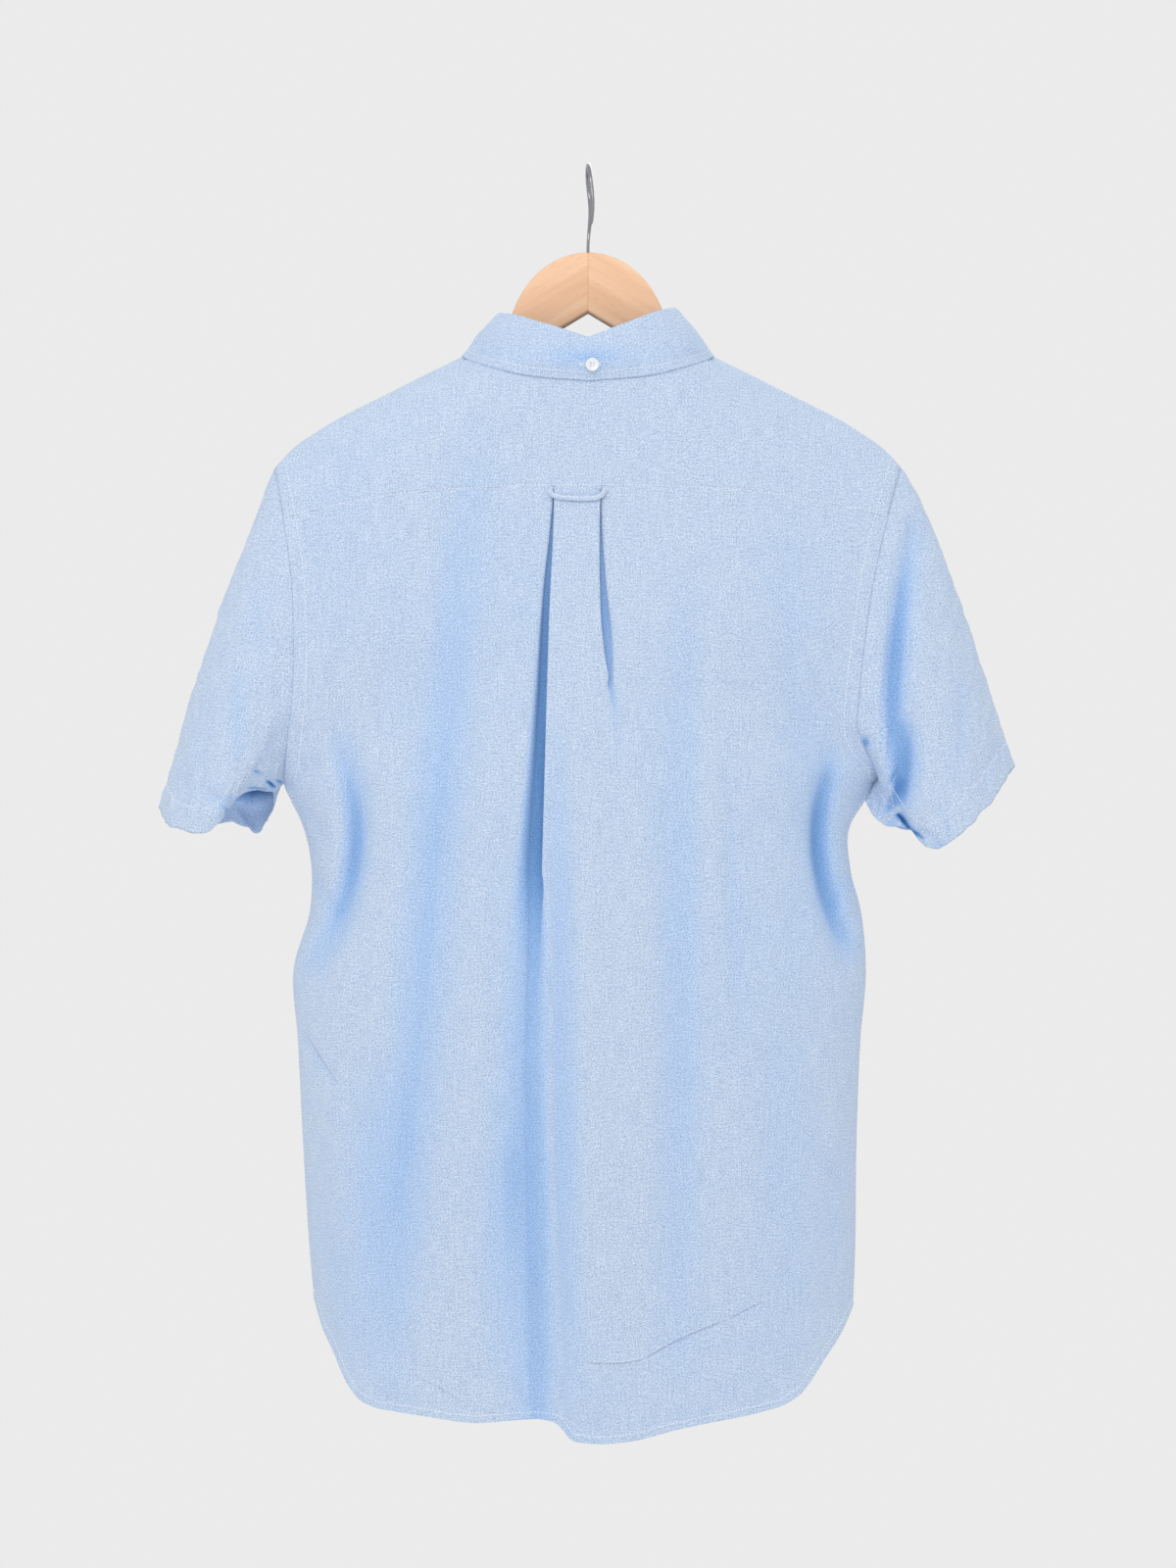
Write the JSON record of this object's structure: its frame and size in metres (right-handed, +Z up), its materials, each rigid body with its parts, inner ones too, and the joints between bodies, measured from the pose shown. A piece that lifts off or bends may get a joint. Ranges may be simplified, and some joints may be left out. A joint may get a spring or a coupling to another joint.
{
  "type": "short sleeve oxford shirt on wooden clothes hanger",
  "caption": "Buttoned short-sleeved shirt with button-down collar, yoke, box pleat, hanger loop and curved tails, hanging open inside on a flat wooden hanger with a wire hook.",
  "frame": {"origin": "the underside of the hook's bend, where it bears on a rail", "axes": "+Z is up, the wearer faces -Y, +X is the wearer's left"},
  "size_m": [0.6289, 0.1488, 0.9333],
  "materials": {
    "oxford_cloth": "matt light blue oxford basket weave",
    "button_white": "polished white resin",
    "hanger_wood": "satin lacquered beech",
    "hanger_wire": "bright plated steel wire"
  },
  "bodies": {
    "root": {"back": "oxford_cloth", "yoke": "oxford_cloth", "front_left": "oxford_cloth", "front_right": "oxford_cloth", "sleeve_left": "oxford_cloth", "sleeve_right": "oxford_cloth", "collar_stand": "oxford_cloth", "collar_leaf": "oxford_cloth", "locker_loop": "oxford_cloth", "button_collar_back": "button_white", "button_collar_right": "button_white", "button_collar_left": "button_white", "button_neck": "button_white", "button_front_1": "button_white", "button_front_2": "button_white", "button_front_3": "button_white", "button_front_4": "button_white", "button_front_5": "button_white", "button_front_6": "button_white", "hanger_arm_left": "hanger_wood", "hanger_arm_right": "hanger_wood", "hanger_hook": "hanger_wire"}
  },
  "joints": []
}
